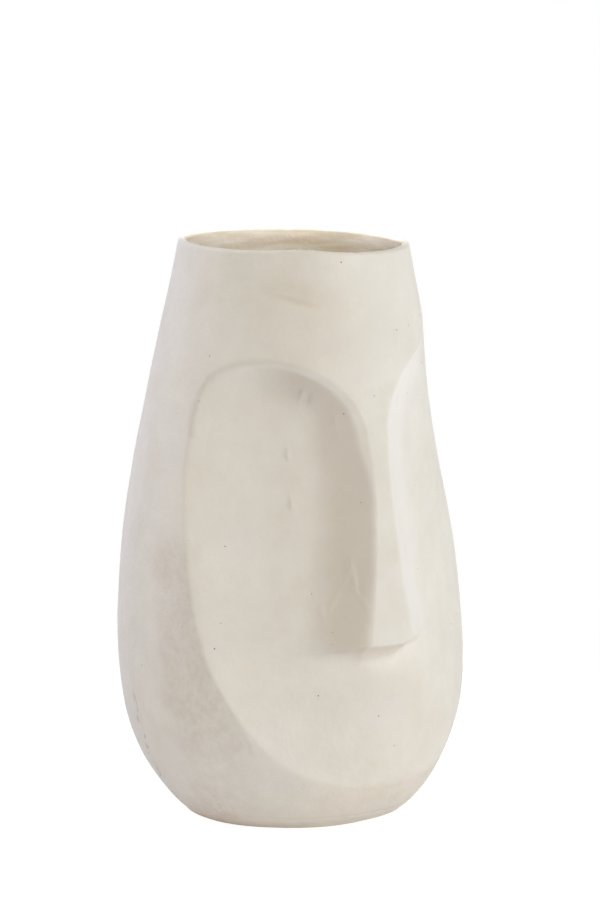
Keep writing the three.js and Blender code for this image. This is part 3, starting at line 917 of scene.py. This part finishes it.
def shaded_and_washed_colour(tree, place, body):
    """The body's colour with painted shade and smears, and the blotchy brown wash, over it."""
    # The corner layer is painted shade with smears, mixed towards the wash's brown
    corner = add(tree, "Attribute", {}, attribute_name="corner").outputs["Fac"]
    painted_shade_mix = add(tree, "Mix", {"Factor": corner, "A": body, "B": linear(WASH_AND_SHADE)}, data_type="RGBA")
    wash = add(tree, "Attribute", {}, attribute_name="wash").outputs["Fac"]
    blotches = add(tree, "TexNoise", {
        "Vector": place, "Scale": per_metre(BLOTCH_SIZE), "Detail": 8.0, "Roughness": 0.8,
    })
    patchy = add(tree, "MapRange", {
        "Value": blotches.outputs["Fac"], "From Min": 0.41, "From Max": 0.59, "To Min": 0.32,
    })
    share = add(tree, "Math", {0: wash, 1: patchy.outputs["Result"]}, operation="MULTIPLY")
    return add(tree, "Mix", {
        "Factor": share.outputs["Value"], "A": painted_shade_mix.outputs["Result"], "B": linear(WASH_AND_SHADE),
    }, data_type="RGBA").outputs["Result"]


def scraped_colour(tree, place, body):
    """The colour with fine upright scratches where a seam was scraped."""
    drawn_out = add(tree, "Mapping", {"Vector": place, "Scale": (1.0, 1.0, SCRAPE_STRETCH)})
    scrapes = add(tree, "TexNoise", {
        "Vector": drawn_out.outputs["Vector"], "Scale": per_metre(SCRAPE_SIZE), "Detail": 3.0,
    })
    thin = add(tree, "MapRange", {"Value": scrapes.outputs["Fac"], "From Min": 0.56, "From Max": 0.68})
    seam = add(tree, "Attribute", {}, attribute_name="seam").outputs["Fac"]
    share = add(tree, "Math", {0: seam, 1: thin.outputs["Result"]}, operation="MULTIPLY")
    return add(tree, "Mix", {
        "Factor": share.outputs["Value"], "A": body, "B": linear(SCRATCH),
    }, data_type="RGBA").outputs["Result"]


def pinholes(tree, place):
    """Where a pinhole lies, and its colour: dark, or filled with slip."""
    cells = add(tree, "TexVoronoi", {"Vector": place, "Scale": per_metre(PIT_SPACING), "Randomness": 1.0})
    chance = add(tree, "SeparateColor", {"Color": cells.outputs["Color"]})
    size = add(tree, "MapRange", {
        "Value": chance.outputs["Red"], "From Min": 0.62, "From Max": 1.0, "To Max": 0.088,
    })
    pit = add(tree, "Math", {0: cells.outputs["Distance"], 1: size.outputs["Result"]}, operation="LESS_THAN")
    filled = add(tree, "Math", {0: chance.outputs["Green"], 1: 0.5}, operation="GREATER_THAN")
    speck = add(tree, "Mix", {
        "Factor": filled.outputs["Value"], "A": linear(PIT), "B": linear(SLIP),
    }, data_type="RGBA")
    return pit.outputs["Value"], speck.outputs["Result"]


def clay_surface(tree, place, pit):
    """Small dabs of the hand, the grain of the clay and the sunk pinholes."""
    dabs = add(tree, "TexNoise", {
        "Vector": place, "Scale": per_metre(DAB_SIZE), "Detail": 4.0, "Roughness": 0.62,
    })
    dabbed = add(tree, "Bump", {
        "Height": dabs.outputs["Fac"], "Distance": DAB_DEPTH * MM, "Strength": 1.0,
    })
    grain = add(tree, "TexNoise", {"Vector": place, "Scale": per_metre(GRAIN_SIZE), "Detail": 3.0})
    grained = add(tree, "Bump", {
        "Height": grain.outputs["Fac"], "Distance": GRAIN_DEPTH * MM, "Strength": 1.0,
        "Normal": dabbed.outputs["Normal"],
    })
    return add(tree, "Bump", {
        "Height": pit, "Distance": PIT_DEPTH * MM, "Strength": 1.0, "Normal": grained.outputs["Normal"],
    }, invert=True).outputs["Normal"]


def fired_clay(name, roughness):
    """Matte fired clay: slip wiped over outside and bare where the hand never reached.
    To the eye it is chalky and soft, with faint clouds of colour, pinholes and a brown wash low down."""
    material, tree = new_material(name)
    place = add(tree, "TexCoord", {}).outputs["Object"]
    inside = add(tree, "Attribute", {}, attribute_name="inside").outputs["Fac"]
    covered = add(tree, "Mix", {
        "Factor": inside, "A": slip_colour(tree, place), "B": bare_colour(tree, place),
    }, data_type="RGBA").outputs["Result"]
    coloured = scraped_colour(tree, place, shaded_and_washed_colour(tree, place, covered))
    pit, speck = pinholes(tree, place)
    pitted = add(tree, "Mix", {"Factor": pit, "A": coloured, "B": speck}, data_type="RGBA")
    shader = add(tree, "BsdfPrincipled", {
        "Base Color": pitted.outputs["Result"],
        "Roughness": roughness,
        "IOR": 1.45,
        "Specular IOR Level": 0.3,
        "Normal": clay_surface(tree, place, pit),
    })
    add(tree, "OutputMaterial", {"Surface": shader.outputs["BSDF"]})
    return material


slip_finish = fired_clay("slip_over_fired_clay", 0.88)
bare_finish = fired_clay("bare_fired_clay", 0.93)

for piece, nodes, slot, finish in (
    (face_half, ("front_shell", "nose"), "slip_clay", slip_finish),
    (back_half, ("back_shell",), "slip_clay", slip_finish),
    (floor_disc, ("floor_slab",), "bare_clay", bare_finish),
    (left_coil, ("left_seam_coil",), "bare_clay", bare_finish),
    (right_coil, ("right_seam_coil",), "bare_clay", bare_finish),
    (floor_coil, ("floor_seam_coil",), "bare_clay", bare_finish),
):
    piece.data.materials.append(finish)
    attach(piece, "root")
    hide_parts(*nodes)

# Camera at the height and side that the vase is seen from, far off with a long lens
CAMERA_SIDE = math.radians(-33)
CAMERA_DISTANCE = 2450.0
EYE_HEIGHT = 584.0
AIM = Vector((3.29, -2.14, 222.5))
LENS = 161.62
SENSOR = 36.0
SEES_TO = 100.0
level_out = Vector((math.sin(CAMERA_SIDE), -math.cos(CAMERA_SIDE), 0))
eye = level_out * CAMERA_DISTANCE + Vector((0, 0, EYE_HEIGHT))
bpy.ops.object.camera_add(location=eye * MM, rotation=(AIM - eye).to_track_quat("-Z", "Y").to_euler())
camera = bpy.context.object
camera.data.lens = LENS
camera.data.sensor_width = SENSOR
camera.data.clip_end = SEES_TO
bpy.context.scene.camera = camera

# Studio: a pale floor that keeps the shadow near the vase and is white beyond, white all round
FLOOR_RADIUS = 60.0
FLOOR_SIDES = 64
FLOOR_BOUNCE_GLOW = 0.19
FLOOR_GLOW = 0.9
SHADOW_FADES_FROM = 0.2
SHADOW_FADES_BY = 0.6
AMBIENT = 0.0
bpy.ops.mesh.primitive_circle_add(
    vertices=FLOOR_SIDES, radius=FLOOR_RADIUS, fill_type="NGON", location=(0, 0, 0),
)
floor = bpy.context.object
floor.name = "studio_floor"


def seen_rays(tree):
    """1 for what the eye sees, straight or mirrored or through glass, and 0 for light that bounces."""
    path = add(tree, "LightPath", {}).outputs
    seen = add(tree, "Math", {0: path["Is Camera Ray"], 1: path["Is Glossy Ray"]}, operation="MAXIMUM")
    seen = add(tree, "Math", {0: seen.outputs["Value"], 1: path["Is Transmission Ray"]}, operation="MAXIMUM")
    return seen.outputs["Value"]


def white_paper():
    """White paper: it bounces warm light and glows faintly as painted light from below; to the eye it is
    white, with a soft shadow near the vase.
    """
    paper, tree = new_material("white_paper_floor")
    sheet = add(tree, "BsdfDiffuse", {"Color": linear("E4E4E4")})
    # A painted glow: the paper itself shines on the vase, standing in for more bounced light
    bounce_glow = add(tree, "Emission", {"Color": linear("FFF4FB"), "Strength": FLOOR_BOUNCE_GLOW})
    lit = add(tree, "AddShader", {0: sheet.outputs["BSDF"], 1: bounce_glow.outputs["Emission"]})
    glow = add(tree, "Emission", {"Color": linear("FFFFFF"), "Strength": FLOOR_GLOW})
    shaded = add(tree, "BsdfDiffuse", {"Color": linear("888888")})
    near = add(tree, "AddShader", {0: glow.outputs["Emission"], 1: shaded.outputs["BSDF"]})
    white = add(tree, "Emission", {"Color": linear("FFFFFF"), "Strength": 1.0})
    away = add(tree, "VectorMath", {0: add(tree, "TexCoord", {}).outputs["Object"]}, operation="LENGTH")
    beyond = add(tree, "MapRange", {
        "Value": away.outputs["Value"], "From Min": SHADOW_FADES_FROM, "From Max": SHADOW_FADES_BY,
    })
    backdrop = add(tree, "MixShader", {
        0: beyond.outputs["Result"], 1: near.outputs["Shader"], 2: white.outputs["Emission"],
    })
    mixed = add(tree, "MixShader", {
        0: seen_rays(tree), 1: lit.outputs["Shader"], 2: backdrop.outputs["Shader"],
    })
    add(tree, "OutputMaterial", {"Surface": mixed.outputs["Shader"]})
    return paper


floor.data.materials.append(white_paper())

world = bpy.data.worlds.new("white_studio")
world.use_nodes = True
world.node_tree.nodes.clear()
bpy.context.scene.world = world
level = add(world.node_tree, "MapRange", {
    "Value": seen_rays(world.node_tree), "To Min": AMBIENT, "To Max": 1.0,
})
sky = add(world.node_tree, "Background", {"Color": linear("FFFFFF"), "Strength": level.outputs["Result"]})
add(world.node_tree, "OutputWorld", {"Surface": sky.outputs["Background"]})

# Softboxes: name, side measured from the camera to its right, height angle, watts, colour
SOFTBOX_DISTANCE = 3.0
SOFTBOX_WIDTH = 1.2
SOFTBOXES = (
    ("front_softbox", 15, 12, 22.9, "F5FEFC"),
    ("right_softbox", 65, 12, 27.0, "FFECE8"),
    ("right_rear_softbox", 90, 12, 34.0, "DCF1FF"),
    ("left_softbox", -60, 45, 29.0, "FFF2E8"),
    ("left_rear_softbox", -120, 45, 54.7, "D4E0FF"),
    ("top_softbox", 0, 88, 12.8, "FFFFDD"),
)


def aimed_lamp(name, kind, target, towards, distance, watts):
    """A lamp at a distance from its target, turned to face it."""
    bpy.ops.object.light_add(type=kind, location=target + towards * distance)
    lamp = bpy.context.object
    lamp.name = name
    lamp.rotation_euler = (-towards).to_track_quat("-Z", "Y").to_euler()
    lamp.data.energy = watts
    return lamp


for name, side, lift, watts, colour in SOFTBOXES:
    turn = CAMERA_SIDE + math.radians(side)
    rise = math.radians(lift)
    towards = Vector((math.sin(turn) * math.cos(rise), -math.cos(turn) * math.cos(rise), math.sin(rise)))
    softbox = aimed_lamp(name, "AREA", Vector((0, 0, HEIGHT / 2 * MM)), towards, SOFTBOX_DISTANCE, watts)
    softbox.data.shape = "SQUARE"
    softbox.data.size = SOFTBOX_WIDTH
    softbox.data.color = linear(colour)[:3]

# A narrow lamp from above shines into the mouth, on the far side's inner wall
MOUTH_LAMP_LIFT = math.radians(60)
MOUTH_LAMP_DISTANCE = 1.5
MOUTH_LAMP_REACH = 60
MOUTH_LAMP_DROP = 14
MOUTH_LAMP_WATTS = 84.0
MOUTH_LAMP_CONE = math.radians(7.0)
MOUTH_LAMP_BLEND = 0.35
MOUTH_LAMP_SIZE = 0.012
target = level_out * -MOUTH_LAMP_REACH * MM + Vector((0, 0, HEIGHT - MOUTH_LAMP_DROP)) * MM
towards = level_out * math.cos(MOUTH_LAMP_LIFT) + Vector((0, 0, math.sin(MOUTH_LAMP_LIFT)))
mouth_lamp = aimed_lamp("mouth_lamp", "SPOT", target, towards, MOUTH_LAMP_DISTANCE, MOUTH_LAMP_WATTS)
mouth_lamp.data.spot_size = MOUTH_LAMP_CONE
mouth_lamp.data.spot_blend = MOUTH_LAMP_BLEND
mouth_lamp.data.shadow_soft_size = MOUTH_LAMP_SIZE

bpy.context.scene.view_settings.view_transform = "Standard"
